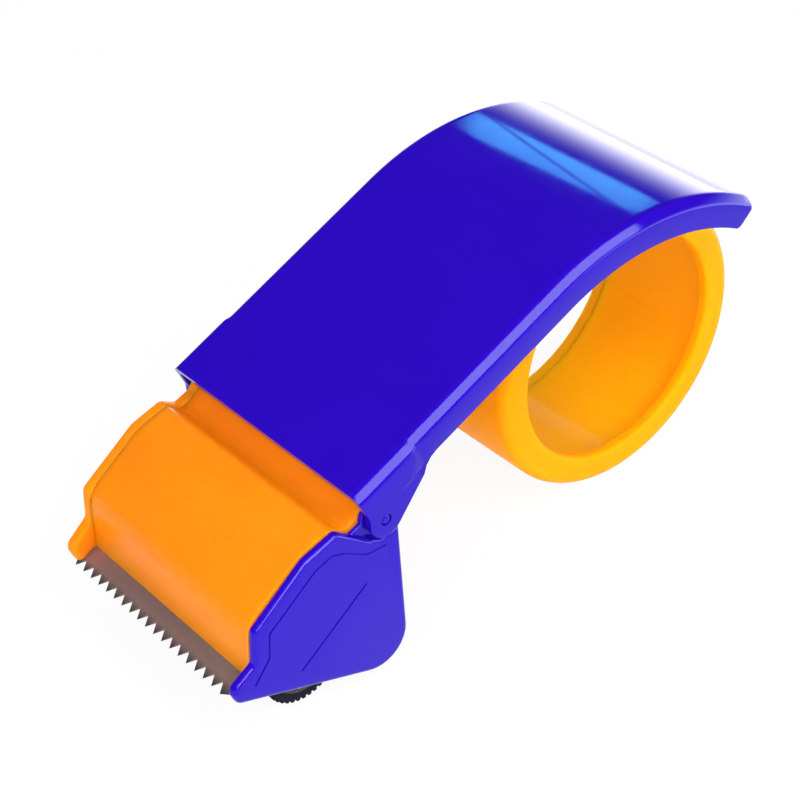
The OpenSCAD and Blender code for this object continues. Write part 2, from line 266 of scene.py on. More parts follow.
def apply(piece, kind, **settings):
    bpy.context.view_layer.objects.active = piece
    modifier = piece.modifiers.new(kind.title(), kind)
    for key, value in settings.items():
        setattr(modifier, key, value)
    bpy.ops.object.modifier_apply(modifier=modifier.name)


def soften(piece, width, segments=3, angle=34):
    """Rounds every edge sharper than the angle, as a mould does."""
    apply(
        piece, "BEVEL", width=width * MM, segments=segments, limit_method="ANGLE",
        angle_limit=math.radians(angle),
    )
    return smooth(piece)


def smooth(piece, angle=30):
    bpy.ops.object.select_all(action="DESELECT")
    bpy.context.view_layer.objects.active = piece
    piece.select_set(True)
    bpy.ops.object.shade_smooth_by_angle(angle=math.radians(angle))
    return piece


def joined(name, pieces):
    bpy.ops.object.select_all(action="DESELECT")
    for piece in pieces:
        piece.select_set(True)
    bpy.context.view_layer.objects.active = pieces[0]
    bpy.ops.object.join()
    bpy.context.object.name = name
    return bpy.context.object


def copy_of(piece, matrix):
    """A copy with its own mesh, moved by a matrix in its points."""
    twin = piece.copy()
    twin.data = piece.data.copy()
    twin.data.transform(matrix)
    if matrix.determinant() < 0:
        twin.data.flip_normals()
    bpy.context.collection.objects.link(twin)
    return twin


def mounted(piece, body, node, material):
    """Puts a finished piece in place of a CAD node, on its body and with its finish."""
    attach(piece, body)
    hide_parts(node)
    piece.data.materials.clear()
    piece.data.materials.append(material)
    print(piece.name, "faces:", len(piece.data.polygons), "for", node)


# %% [markdown]
# Shader maths reads best as plain arithmetic. `Wire` holds one output of a node and adds a Math node for
# each sign, and `Finish` is one material: its `node` method adds any other node, sets it and plugs it in.


# %% Writing materials as expressions
class Wire:
    def __init__(self, tree, socket):
        self.tree = tree
        self.socket = socket

    def math(self, operation, first, second):
        node = self.tree.nodes.new("ShaderNodeMath")
        node.operation = operation
        for slot, value in zip(node.inputs, (first, second)):
            plug(self.tree, slot, value)
        return Wire(self.tree, node.outputs[0])

    def __add__(self, other):
        return self.math("ADD", self, other)

    def __sub__(self, other):
        return self.math("SUBTRACT", self, other)

    def __rsub__(self, other):
        return self.math("SUBTRACT", other, self)

    def __mul__(self, other):
        return self.math("MULTIPLY", self, other)

    def __lt__(self, other):
        return self.math("LESS_THAN", self, other)

    __radd__ = __add__
    __rmul__ = __mul__


def plug(tree, slot, value):
    if isinstance(value, Wire):
        tree.links.new(value.socket, slot)
    else:
        slot.default_value = value


class Finish:
    def __init__(self, name, **constants):
        self.material = bpy.data.materials.new(name)
        self.material.use_nodes = True
        self.tree = self.material.node_tree
        self.shader = self.tree.nodes["Principled BSDF"]
        for key, value in constants.items():
            self.shader.inputs[key.replace("_", " ")].default_value = value

    def node(self, kind, settings, sockets, output=0):
        node = self.tree.nodes.new("ShaderNode" + kind)
        for key, value in settings.items():
            setattr(node, key, value)
        for key, value in sockets.items():
            plug(self.tree, node.inputs[key], value)
        return Wire(self.tree, node.outputs[output])

    def place(self, scale=(1, 1, 1)):
        where = self.node("TexCoord", {}, {}, output="Object")
        return self.node("Mapping", {}, {"Vector": where, "Scale": scale})

    def axis(self, name):
        return self.node("SeparateXYZ", {}, {"Vector": self.place()}, output=name)

    def noise(self, scale, detail=3, stretch=(1, 1, 1)):
        """Noise with this many grains to the metre along X, Y and Z."""
        return self.node("TexNoise", {}, {"Vector": self.place(stretch), "Scale": scale, "Detail": detail})

    def blend(self, factor, first, second):
        kind = {"data_type": "RGBA", "clamp_factor": True}
        sockets = {"Factor": factor, 6: (*first, 1), 7: (*second, 1)}
        return self.node("Mix", kind, sockets, output=2)

    def bump(self, height, strength, distance):
        return self.node("Bump", {}, {"Height": height, "Strength": strength, "Distance": distance * MM})

    def set(self, **links):
        for key, value in links.items():
            plug(self.tree, self.shader.inputs[key.replace("_", " ")], value)
        return self.material


# %% [markdown]
# The plastic is coloured right through and comes from a polished mould. Its colour drifts a little where
# the melt flowed, its surface has a faint orange peel that shows only in reflections, and handling leaves
# fine rubbed patches that are a little less glossy. The orange plastic glows where light gets into it.
# Inside the drum, where light shines through the thin wall, that glow is also painted into the colour as a
# paler orange.

# %% Glossy moulded plastic
FLOW_SHARE = 0.3
BORE_SLACK = 0.3
RING_SLACK = 0.1


def bore_glow_mask(finish):
    """Where the painted glow goes: 1 inside the drum, behind its ring, and 0 elsewhere."""
    y = finish.axis("Y") - drum_axis.y
    z = finish.axis("Z") - drum_axis.z
    near_axis = y * y + z * z < ((BORE_R + BORE_SLACK) * MM) ** 2
    behind_ring = finish.axis("X") < (RING_X - RING_T + RING_SLACK) * MM
    return near_axis * behind_ring


def moulded_plastic(name, deep, pale, polish, glow_mask=None, **fixed):
    finish = Finish(name, Coat_Roughness=0.05, **fixed)
    flow = finish.noise(38, detail=2, stretch=(0.6, 1.4, 1))
    # Inside the drum the paler orange is painted glow, for light shining through its thin wall.
    flow_and_glow = FLOW_SHARE * flow + (1 - FLOW_SHARE) * glow_mask(finish) if glow_mask else flow
    rubbed = finish.noise(210, detail=5)
    scuffs = finish.noise(900, detail=2, stretch=(0.15, 1, 1))
    peel = finish.noise(420, detail=1)
    return finish.set(
        Base_Color=finish.blend(flow_and_glow, deep, pale),
        Roughness=polish + 0.08 * rubbed + 0.04 * scuffs,
        Coat_Weight=0.05 - 0.04 * rubbed,
        Normal=finish.bump(peel, 0.03, 0.05),
    )


GLOWING = {
    "IOR": 1.2,
    "Subsurface_Weight": 0.6,
    "Subsurface_Radius": (1.0, 0.3, 0.03),
    "Subsurface_Scale": 0.012,
}
DULL_GLOW = {**GLOWING, "IOR": 1.1}
DEEP_BLUE = (0.0135, 0.001, 0.325)
PALE_BLUE = (0.019, 0.0015, 0.385)
DEEP_ORANGE = (1.0, 0.165, 0.003)
# The drum's orange is a lighter copy of the frame's orange: painted light, for the stronger light on the
# drum and its glow.
LIT_DRUM_ORANGE = (1.0, 0.3, 0.001)
PAINTED_GLOW_ORANGE = (1.0, 0.44, 0.003)
blue_plastic = moulded_plastic("moulded_blue", DEEP_BLUE, PALE_BLUE, 0.04, IOR=1.29)
orange_plastic = moulded_plastic("moulded_orange", DEEP_ORANGE, PAINTED_GLOW_ORANGE, 0.26, bore_glow_mask, **GLOWING)
drum_plastic = moulded_plastic("moulded_drum", LIT_DRUM_ORANGE, PAINTED_GLOW_ORANGE, 0.36, bore_glow_mask, **DULL_GLOW)
print("plastics:", blue_plastic.name, orange_plastic.name, drum_plastic.name)

# %% [markdown]
# The axle and the clamp bar are plain drawn steel, so their grain runs along their length. The screws are
# zinc plated.


# %% Metals
def drawn_metal(name, deep, pale, roughness, stretch):
    finish = Finish(name, Metallic=1.0)
    grain = finish.noise(900, detail=4, stretch=stretch)
    stain = finish.noise(160, detail=4)
    return finish.set(
        Base_Color=finish.blend(0.6 * grain + 0.4 * stain, deep, pale),
        Roughness=roughness + 0.14 * grain + 0.08 * stain,
        Normal=finish.bump(grain, 0.12, 0.02),
    )


ALONG_X = (0.02, 1, 1)
bar_steel = drawn_metal("drawn_steel", (0.42, 0.42, 0.43), (0.58, 0.58, 0.6), 0.26, ALONG_X)
zinc = drawn_metal("zinc_plate", (0.46, 0.46, 0.5), (0.66, 0.66, 0.68), 0.3, (1, 1, 1))
print("metals:", bar_steel.name, zinc.name)

# %% [markdown]
# The roller's sleeve is black rubber with a fine matt grain and a trace of dust, on a core of black
# plastic, and it turns on two bushes of natural nylon.


# %% Rubber, core and bushes
def dull_plastic(name, deep, pale, roughness, grain_scale, ior=1.48):
    finish = Finish(name, IOR=ior)
    grain = finish.noise(grain_scale, detail=3)
    dust = finish.noise(260, detail=5)
    return finish.set(
        Base_Color=finish.blend(dust * dust, deep, pale),
        Roughness=roughness + 0.15 * dust,
        Normal=finish.bump(grain, 0.2, 0.05),
    )


black_rubber = dull_plastic("ribbed_rubber", (0.004, 0.002, 0.008), (0.016, 0.011, 0.028), 0.5, 2400, 1.2)
core_plastic = dull_plastic("black_core", (0.014, 0.013, 0.015), (0.03, 0.03, 0.032), 0.38, 1500)
nylon = dull_plastic("natural_nylon", (0.72, 0.7, 0.62), (0.85, 0.84, 0.78), 0.34, 1200)
print("roller finishes:", black_rubber.name, core_plastic.name, nylon.name)

# %% [markdown]
# ## The handle cover
# The cover is one thin moulding: a straight slope, then an arch over the drum. Its section is a shallow
# channel with a small flat along each top edge. The section is drawn once as an open line, extruded down
# the slope and spun round the arch, and Solidify gives it a wall.

# %% Sizes of the cover
SLOPE = 27.5
STRAIGHT = 62.0
ARM_DROP = 10.9
FRONT_REACH = 3.0
ARCH_R = 65.0
ARCH_REAR = 28.0
END_SLANT = 16
END_ROUND = 2.6
FOOT_ROUND = 1.6
SKIRT_X = COVER_HALF - 0.08
SKIRT_DEPTH = 7.5
COVER_WALL = 1.8
EDGE_FLAT = 2.0
EDGE_SOFT = 1.5
EDGE_RUN = 1.4
COVER_EDGE = 0.45
ARCH_STEPS = 36
ARM_STOPS = [-8, -5, -2, 1]
NECK = 17.0
NECK_STEP = 0.62
NECK_LENGTH = 1.9
NECK_CUTS = 4
REAR_X = SKIRT_X - NECK_STEP
ARM_R = 4.2
THROAT_BACK = 16.0
THROAT_R = 6.0

ALONG = (-math.cos(math.radians(SLOPE)), -math.sin(math.radians(SLOPE)))
SQUARE = (-math.sin(math.radians(SLOPE)), math.cos(math.radians(SLOPE)))


def on_slope(u, w):
    """A point u forward along the cover's slope from the hinge, and w square above it."""
    return HINGE[0] + u * ALONG[0] + w * SQUARE[0], HINGE[1] + u * ALONG[1] + w * SQUARE[1]


def along_slope(place):
    """How far a place in the scene lies along the slope from the hinge, in millimetres."""
    y, z = from_drum(place)
    return (y - HINGE[0]) * ALONG[0] + (z - HINGE[1]) * ALONG[1]


MEETING = FRONT_REACH - STRAIGHT
ARCH = on_slope(MEETING, ARM_DROP - ARCH_R)
print("centre of the arch:", [round(v, 1) for v in ARCH])

# %% [markdown]
# Each hinge arm grows out of the skirt without a seam, so its columns of faces already start in the slope's
# extrusion: the stops below include the throat, where the arm's rear edge curves away from the skirt.

# %% Draw the section and sweep it
SLACK = 0.01
skirt_foot = ARM_DROP - SKIRT_DEPTH


def touch(point, side):
    """Where a line from a point meets the round end of an arm."""
    step = Vector(point) - Vector(HINGE)
    angle = math.atan2(step.y, step.x) + side * math.acos(ARM_R / step.length)
    return HINGE[0] + ARM_R * math.cos(angle), HINGE[1] + ARM_R * math.sin(angle)


front_touch = touch(on_slope(FRONT_REACH, ARM_DROP - EDGE_FLAT), 1)
rear_touch = touch(on_slope(-THROAT_BACK, skirt_foot), -1)
rear_corners = [
    (*on_slope(MEETING, skirt_foot), 0),
    (*on_slope(-THROAT_BACK, skirt_foot), THROAT_R),
    (*rear_touch, 0),
]
rear_edge = rounded(rear_corners, steps=8, closed=False)[1:]
throat = along_slope(at(0, *rear_edge[0]))


def open_line(name, places):
    """A line of edges through the places, made from a circle without its last edge."""
    piece = ring(name, places)
    edit(piece, "DESELECT")
    done()
    for edge in piece.data.edges:
        edge.select = set(edge.vertices) == {0, len(places) - 1}
    bpy.ops.object.mode_set(mode="EDIT")
    bpy.ops.mesh.select_mode(type="EDGE")
    bpy.ops.mesh.delete(type="EDGE")
    bpy.ops.mesh.select_mode(type="VERT")
    done()
    return piece


half_section = [
    (REAR_X, SKIRT_DEPTH, 0),
    (REAR_X, EDGE_FLAT + EDGE_RUN, 0),
    (REAR_X, EDGE_FLAT, EDGE_SOFT),
    (REAR_X - EDGE_FLAT, 0, EDGE_SOFT),
    (REAR_X - EDGE_FLAT - EDGE_RUN, 0, 0),
    (0, 0, 0),
]
right_half = rounded(half_section, steps=3, closed=False)
section = right_half + [(-x, depth) for x, depth in reversed(right_half[:-1])]
first_section = [at(x, *on_slope(MEETING, ARM_DROP - depth)) for x, depth in section]
cover = open_line("handle_cover_shell", first_section)
edit(cover)
neck_start = FRONT_REACH - NECK
neck_stops = [neck_start + NECK_LENGTH * i / NECK_CUTS for i in range(NECK_CUTS + 1)]
stops = [MEETING, throat] + neck_stops + ARM_STOPS + [FRONT_REACH]
for here, there in zip(stops, stops[1:]):
    step = (0, ALONG[0] * (there - here) * MM, ALONG[1] * (there - here) * MM)
    bpy.ops.mesh.extrude_region_move(TRANSFORM_OT_translate={"value": step})
done()
select_points(cover, lambda co: abs(along_slope(co) - MEETING) < SLACK)
bpy.ops.mesh.spin(
    steps=ARCH_STEPS, angle=math.radians(ARCH_REAR + SLOPE), center=at(0, *ARCH), axis=(1, 0, 0)
)
done()
clean(cover)
print("cover surface:", len(cover.data.polygons), "faces")

# %% [markdown]
# The arms come next. The foot of each skirt, from the throat to the front, is extruded downwards row by
# row. Every new row lies between the arm's front and rear edges, and the last one follows its round end.

# %% Grow the hinge arms
ARM_ROWS = 9


def share(line, part):
    """The point at this part of a line's length."""
    points = [Vector(point) for point in line]
    lengths = [(b - a).length for a, b in zip(points, points[1:])]
    left = part * sum(lengths)
    for start, end, length in zip(points, points[1:], lengths):
        if left <= length:
            return start.lerp(end, left / length)
        left -= length
    return points[-1]


front_edge = [on_slope(FRONT_REACH, skirt_foot), front_touch]
start_angle = math.degrees(math.atan2(rear_touch[1] - HINGE[1], rear_touch[0] - HINGE[0]))
end_angle = math.degrees(math.atan2(front_touch[1] - HINGE[1], front_touch[0] - HINGE[0]))
round_end = arc(HINGE, ARM_R, start_angle, end_angle % 360 - 360, 24)


def arm_row(part, count):
    """One row of an arm, from its rear edge to its front edge."""
    rear, front = share(rear_edge, part), share(front_edge, part)
    row = []
    for i in range(count):
        across = i / (count - 1)
        bulge = share(round_end, across) - Vector(rear_touch).lerp(Vector(front_touch), across)
        row.append(rear.lerp(front, across) + bulge * part**2)
    return row


def skirt_foot_in_front(co):
    y, z = from_drum(co)
    height = (y - HINGE[0]) * SQUARE[0] + (z - HINGE[1]) * SQUARE[1]
    return abs(height - skirt_foot) < SLACK and along_slope(co) > throat - SLACK


select_points(cover, skirt_foot_in_front)
for row in range(1, ARM_ROWS + 1):
    bpy.ops.mesh.extrude_region_move(TRANSFORM_OT_translate={"value": (0, 0, -SLACK * MM)})
    done()
    fresh = [vertex for vertex in cover.data.vertices if vertex.select]
    for side in (-1, 1):
        column = sorted((v for v in fresh if v.co.x * side > 0), key=lambda v: along_slope(v.co))
        for vertex, (y, z) in zip(column, arm_row(row / ARM_ROWS, len(column))):
            vertex.co = at(side * REAR_X, y, z)
    bpy.ops.object.mode_set(mode="EDIT")
done()
print("arms reach down to z =", round(min(v.co.z for v in cover.data.vertices) / MM, 1))

# %% [markdown]
# The arms pass outside the head's plates, so the cover grows more than half a millimetre wider on each side
# just behind them, in a short step. Then the rear end is cut on a slant, the surface gets its wall, and all
# edges are rounded.

# %% Neck, rear cut, wall and edges
END_CUTS = 5
for vertex in cover.data.vertices:
    part = min(max((along_slope(vertex.co) - neck_start) / NECK_LENGTH, 0), 1)
    vertex.co.x *= 1 + NECK_STEP / REAR_X * part * part * (3 - 2 * part)
rear = math.radians(90 - ARCH_REAR)
end_tilt = -ARCH_REAR - END_SLANT
tip = Vector((ARCH[0] + ARCH_R * math.cos(rear), ARCH[1] + ARCH_R * math.sin(rear)))
half = math.radians(90 - ARCH_REAR - end_tilt) / 2
middle_turn = math.radians(90 - ARCH_REAR + end_tilt) / 2
inward = Vector((math.cos(middle_turn), math.sin(middle_turn)))
end_centre = tip - inward * END_ROUND / math.cos(half)
for step in range(END_CUTS):
    turn = math.radians(end_tilt + (90 - ARCH_REAR - end_tilt) * step / END_CUTS)
    place = end_centre + END_ROUND * Vector((math.cos(turn), math.sin(turn)))
    edit(cover)
    square = (0, math.cos(turn), math.sin(turn))
    bpy.ops.mesh.bisect(plane_co=at(0, *place), plane_no=square, clear_outer=True)
    done()
clean(cover)
end_square = Vector((0, math.cos(math.radians(end_tilt)), math.sin(math.radians(end_tilt))))
end_place = end_centre + END_ROUND * end_square.yz


def on_end(co):
    return abs((co - at(0, *end_place)).dot(end_square)) < 2 * SLACK * MM


foot = min(vertex.co.z for vertex in cover.data.vertices if on_end(vertex.co))
select_points(cover, lambda co: on_end(co) and co.z < foot + 2 * SLACK * MM)
bpy.ops.mesh.bevel(offset=FOOT_ROUND * MM, segments=4, affect="VERTICES")
done()
top_face = max(cover.data.polygons, key=lambda face: face.center.z)
if top_face.normal.z < 0:
    cover.data.flip_normals()
apply(cover, "SOLIDIFY", thickness=COVER_WALL * MM, offset=-1, use_even_offset=True)
clean(cover)
soften(cover, COVER_EDGE, angle=40)
print("cover with its wall:", len(cover.data.polygons), "faces")

# %% [markdown]
# The arms turn on two pins, so each has a hole. A lip under the cover's front edge closes the gap to the
# shield. Both are cut and joined here, and the piece then takes the place of the CAD node.

# %% Pin holes and front lip
PIN_R = 1.25
PIN_ROOM = 0.1
LIP_TOP = 1.0
LIP_DEPTH = 4.2
LIP_FRONT = 0.3
LIP_T = 2.2
LIP_ROOM = 0.3


def cut(piece, cutter):
    """Takes one closed piece out of another, and removes the cutter."""
    apply(piece, "BOOLEAN", operation="DIFFERENCE", object=cutter, solver="EXACT")
    bpy.data.objects.remove(cutter)


def rod(name, centre, radius, x0, x1):
    return turned(name, [(x0, 0), (x0, radius), (x1, radius), (x1, 0)], centre, steps=HOLE_STEPS)


cut(cover, rod("pin_hole", HINGE, PIN_R + PIN_ROOM, -COVER_HALF - 1, COVER_HALF + 1))
lip_corners = [
    on_slope(FRONT_REACH - LIP_FRONT, ARM_DROP - LIP_TOP),
    on_slope(FRONT_REACH - LIP_T, ARM_DROP - LIP_TOP),
    on_slope(FRONT_REACH - LIP_T, ARM_DROP - LIP_DEPTH),
    on_slope(FRONT_REACH - LIP_FRONT, ARM_DROP - LIP_DEPTH),
]
lip = soften(plate("cover_lip", lip_corners, -WALL_IN + LIP_ROOM, WALL_IN - LIP_ROOM), 0.3)
cover = smooth(joined("handle_cover_shell", [cover, lip]))
mounted(cover, "handle", "handle_cover", blue_plastic)

# %% [markdown]
# ## The orange frame
# One moulding makes the left wall, the front shield and the seat of the blade. The wall is a flat plate,
# drawn from the corners of the head and two arcs, and every edge of it is rounded as it leaves the mould.

# %% Corners of the head and the blade's plane
ridge = away(HINGE, (-13.1, 2.5))
brow = away(HINGE, (-20.8, -0.3))
valley = away(HINGE, (-9.3, 0.6))
nose = away(HINGE, (-34.5, -11.4))
ear_root = away(HINGE, (-34.6, -19.1))
ear_tip = away(ROLLER, (-22.8, 9.0))
front_bottom = away(ROLLER, (-20.7, 3.9))
rear_bottom = away(HINGE, (7.7, -43.4))
blade_tip = away(ROLLER, (-21.3, 3.5))
BLADE_TILT = math.radians(32.6)
BLADE_BACK = Vector((math.cos(BLADE_TILT), math.sin(BLADE_TILT)))
BLADE_UP = Vector((-math.sin(BLADE_TILT), math.cos(BLADE_TILT)))
BLADE_T = 0.8
BLADE_SHOW = 6.1
BLADE_DEPTH = 16.0


def on_blade(back, up):
    """A point this far back from the blade's points and this far above the blade."""
    return tuple(Vector(blade_tip) + back * BLADE_BACK + up * BLADE_UP)


print("the blade leans", round(math.degrees(BLADE_TILT), 1), "degrees")

# %% [markdown]
# The wall follows the cover's underside with a small gap, runs round the drum, and comes back to the head
# along a straight web. Its front corner is open under the blade's points.

# %% Left wall
UNDER_COVER = 3.1
DISC_R = DRUM_R - 0.6
WALL_RIM = 1.0
KNUCKLE_R = 5.2
KNUCKLE_GAP = 0.8
TAIL_ANGLE = 80
WEB_ANGLE = -134
SLOT_ROOM = 0.15
web_foot = (-84.6, -18.3)
heel = (-120.9, -25.8)
web_top = arc(ARCH, ARCH_R - UNDER_COVER, 90 + SLOPE, TAIL_ANGLE, 24)
wall_corners = (
    [(*on_slope(-6, ARM_DROP - UNDER_COVER), 3)]
    + [(y, z, 0) for y, z in web_top]
    + [(web_top[-1][0], DISC_R + 2, 4)]
    + [(y, z, 0) for y, z in arc((0, 0), DISC_R, TAIL_ANGLE, WEB_ANGLE, 72)]
    + [(*web_foot, 5), (*rear_bottom, 8), (*heel, 1.4), (*on_blade(BLADE_SHOW, 0), 1)]
    + [(*front_bottom, 1.6), (*ear_tip, 2.6), (*ear_root, 2), (*nose, 2.5), (*brow, 5), (*ridge, 2)]
    + [(*valley, 1)] + [(y, z, 0) for y, z in arc(HINGE, KNUCKLE_R + KNUCKLE_GAP, 158, 45, 12)]
)
bore = (0, 0, BORE_R)
wall = moulded("left_wall", wall_corners, -WALL_OUT, -WALL_IN, WALL_RIM, WALL_RIM, holes=[bore])
slot_foot = -BLADE_T - SLOT_ROOM
slot_back = BLADE_DEPTH + SLOT_ROOM
slot_corners = [
    on_blade(1, slot_foot), on_blade(slot_back, slot_foot), on_blade(slot_back, 0), on_blade(1, 0),
]
cut(wall, plate("blade_slot", slot_corners, -WALL_OUT - 1, -WALL_IN + 1))
print("left wall:", len(wall.data.polygons), "faces")

# %% [markdown]
# The shield is a bent sheet. It starts on a round knuckle at the hinge, dips into a trough that leaves room
# for the swinging lip, climbs to a ridge, falls to the nose and ends just above the blade. It is drawn as
# one open line with soft bends, extruded across the head and given a wall.

# %% Shield, seat and lugs
SHIELD_T = 2.2
SHIELD_START = -WALL_IN - 1.2
SHIELD_END = WALL_OUT - 0.2
TROUGH_END = WALL_IN + 1.9
SUNK = (0.25, -0.4)
SEAT_LIFT = 0.05
SEAT_TOP = 3.0
LUG_R = 4.5
LUG_PROUD = 0.06
LUG_PLACES = [arc((0, 0), BORE_R - 2.9, angle, angle, 1)[0] for angle in (60, 150, 240)]
trough = away(HINGE, (-8.4, -0.9))
knuckle = arc(HINGE, KNUCKLE_R, 50, 135, 10)
shield_line = rounded(
    [(y, z, 0) for y, z in knuckle]
    + [(*trough, 3), (*away(ridge, SUNK), 2.5), (*away(brow, SUNK), 9), (*away(nose, SUNK), 8)]
    + [(*on_blade(BLADE_SHOW, 0.2), 0)],
    steps=8, closed=False,
)
shield = open_line("front_shield", [at(SHIELD_START, y, z) for y, z in shield_line])
edit(shield)
across_head = ((SHIELD_END - SHIELD_START) * MM, 0, 0)
bpy.ops.mesh.extrude_region_move(TRANSFORM_OT_translate={"value": across_head})
done()
select_points(shield, lambda co: co.x > 0 and from_drum(co)[0] > ridge[0] + 1)
bpy.ops.transform.translate(value=((TROUGH_END - SHIELD_END) * MM, 0, 0))
done()
clean(shield)
front_face = min(shield.data.polygons, key=lambda face: face.center.y)
if front_face.normal.y > 0:
    shield.data.flip_normals()
apply(shield, "SOLIDIFY", thickness=SHIELD_T * MM, offset=-1, use_even_offset=True)
clean(shield)
soften(shield, 0.9, segments=4, angle=50)
seat_corners = [
    on_blade(7.4, SEAT_LIFT), on_blade(BLADE_DEPTH, SEAT_LIFT),
    on_blade(BLADE_DEPTH, SEAT_TOP), on_blade(9.2, SEAT_TOP),
]
seat = soften(plate("blade_seat", seat_corners, -WALL_IN - 0.5, WALL_IN - 0.5), 0.4)
lug_ends = (-WALL_OUT - LUG_PROUD, -WALL_IN - LUG_PROUD)
lugs = [soften(rod("drum_lug", place, LUG_R, *lug_ends), 0.5) for place in LUG_PLACES]
body = joined("orange_frame", [wall, shield, seat] + lugs)
mounted(body, "frame", "body_frame", orange_plastic)

# %% [markdown]
# ## The drum
# The drum carries the tape's core. It is a turned shape: a thin tube, a flat ring at its open end with a
# generous outer radius, and a narrow groove at its root. Three bosses inside take the screws.

# %% Tape drum
MOUTH_R = 29.5
BOSS_R = 3.4
BOSS_LENGTH = 10.0
drum_profile = rounded([
    (-WALL_IN, DISC_R, 0), (-WALL_IN + 1, DISC_R, 0.2), (-WALL_IN + 1, DRUM_R, 0.3),
    (RING_X, DRUM_R, 3.2), (RING_X, MOUTH_R, 1.2), (RING_X - RING_T, MOUTH_R, 0.5),
    (RING_X - RING_T, BORE_R, 1.2), (-WALL_IN, BORE_R, 0),
])
tube = smooth(turned("tape_drum_tube", drum_profile, (0, 0), steps=128))
boss_ends = (-WALL_IN, -WALL_IN + BOSS_LENGTH)
bosses = [soften(rod("screw_boss", place, BOSS_R, *boss_ends), 0.4) for place in LUG_PLACES]
drum = joined("tape_drum_tube", [tube] + bosses)
mounted(drum, "frame", "tape_drum", drum_plastic)

# %% [markdown]
# ## The right cheek
# The cheek closes the head on the right. Its base plate lies under the shield's end, and a thicker panel
# covers both from outside, with rounded edges and fine engraved lines. The panel is cut round the hinge,
# where the arm needs room to turn.

# %% Base plate and panel
PANEL_IN = WALL_OUT - 0.1
PANEL_OUT = WALL_OUT + 1.7
cheek_rear = away(HINGE, (4.3, -3.5))
cheek_ridge = away(HINGE, (-12.2, 1.8))
cheek_brow = away(HINGE, (-20.5, -1.3))
cheek_nose = away(HINGE, (-33.7, -12.8))
cheek_root = away(HINGE, (-33.9, -21.1))
cheek_tip = away(ROLLER, (-22.5, 8.1))
cheek_chin = away(ROLLER, (-20.6, 4.0))


def beside(path, distance):
    """The same path moved sideways, with mitred corners."""
    made = []
    for i, point in enumerate(path):
        before = Vector(path[max(i, 1)]) - Vector(path[max(i, 1) - 1])
        after = Vector(path[min(i + 1, len(path) - 1)]) - Vector(path[min(i + 1, len(path) - 1) - 1])
        sides = [Vector((-step.y, step.x)).normalized() for step in (before, after)]
        mitre = sides[0] + sides[1]
        made.append(tuple(Vector(point) + mitre * 2 * distance / mitre.dot(mitre)))
    return made


under_shield = beside([cheek_ridge, cheek_brow, cheek_nose, cheek_root, on_blade(6.5, -4.5)], 2.6)
base_corners = (
    [(*cheek_rear, 0), (*away(rear_bottom, (-0.5, 0.6)), 7)]
    + [(*point, 1) for point in reversed(under_shield)]
    + [(*away(trough, (-0.4, -1.4)), 1)]
    + [(y, z, 0) for y, z in arc(HINGE, KNUCKLE_R - 0.3, 185, -45, 24)]
)
base = moulded("cheek_base", base_corners, WALL_IN, WALL_OUT, 0.5, 0.5)
panel_corners = (
    [(*cheek_rear, 0), (*rear_bottom, 8), (*cheek_chin, 2.4), (*cheek_tip, 2.4), (*cheek_root, 1.5)]
    + [(*cheek_nose, 2), (*cheek_brow, 4), (*cheek_ridge, 1.6), (*away(HINGE, (-3.6, -4.2)), 0.6)]
    + [(y, z, 0) for y, z in arc(HINGE, ARM_R + 0.7, 238, 300, 12)]
)
panel = moulded("cheek_panel", panel_corners, PANEL_IN, PANEL_OUT, 0.3, 1.2, steps=9)
print("cheek panel:", len(panel.data.polygons), "faces")

# %% Engraved lines and tie rods
LINE_WIDTH = 0.5
LINE_DEPTH = 0.25
TIE_R = 3.0


def groove(name, path):
    left, right = beside(path, LINE_WIDTH / 2), beside(path, -LINE_WIDTH / 2)
    return plate(name, left + right[::-1], PANEL_OUT - LINE_DEPTH, PANEL_OUT + 1)


border_corners = [
    (-124.2, -20.6, 0), (-120.4, -15.3, 1), (-120.2, -9.0, 1), (-108.2, 1.2, 3),
    (-103.8, 2.9, 1.5), (-100.2, 1.8, 2), (-94.6, -1.4, 4), (-89.9, -1.3, 0),
]
border = rounded(border_corners, closed=False)
cut(panel, groove("border_line", border))
cut(panel, groove("middle_line", [(-112.3, -23.2), (-95.0, -8.9)]))
TIE_PLACES = [away(HINGE, (-16.7, -7.4)), away(HINGE, (1, -15))]
rods = [soften(rod("tie_rod", place, TIE_R, -WALL_IN, WALL_IN + 0.5), 0.3) for place in TIE_PLACES]
cheek = joined("right_cheek_plate", [base, panel] + rods)
mounted(smooth(cheek), "frame", "right_cheek", blue_plastic)

# %% [markdown]
# ## Fasteners, blade and roller
# The screws are plain pan heads with a cross recess. One is modelled and copied to its places. The hinge
# pins are short rods with a domed end, flush with the arms.

# %% Screws and hinge pins
BLADE_SCREW_X = 18
PIN_END = 32.75


def pan_head(name, head_r, head_h, shank_r, length):
    """A screw along +X with the underside of its head at the origin of X."""
    profile = [
        (-head_h, 0), (-head_h, 0.55 * head_r), (-0.86 * head_h, 0.8 * head_r),
        (-0.5 * head_h, 0.96 * head_r), (0, head_r),
        (0, shank_r), (length, shank_r), (length, 0),
    ]
    screw = turned(name, profile, (0, 0), steps=40)
    reach, half = 0.55 * head_r, 0.14 * head_r
    for y, z in ((reach, half), (half, reach)):
        corners = [(-y, -z), (y, -z), (y, z), (-y, z)]
        cut(screw, plate("recess", corners, -head_h - 1, -0.35 * head_h))
    return soften(screw, 0.1, segments=2, angle=40)


def moved_to(x, y, z):
    return Matrix.Translation(at(x, y, z) - at(0, 0, 0))


wall_screw = pan_head("wall_screw", 2.8, 1.8, 1.4, 9)
drum_set = [copy_of(wall_screw, moved_to(-WALL_OUT, *place)) for place in LUG_PLACES]
tie_set = [copy_of(wall_screw, moved_to(-WALL_OUT, *place)) for place in TIE_PLACES]
bpy.data.objects.remove(wall_screw)
mounted(joined("drum_screw_set", drum_set), "frame", "drum_screws", zinc)
mounted(joined("tie_screw_set", tie_set), "frame", "tie_screws", zinc)

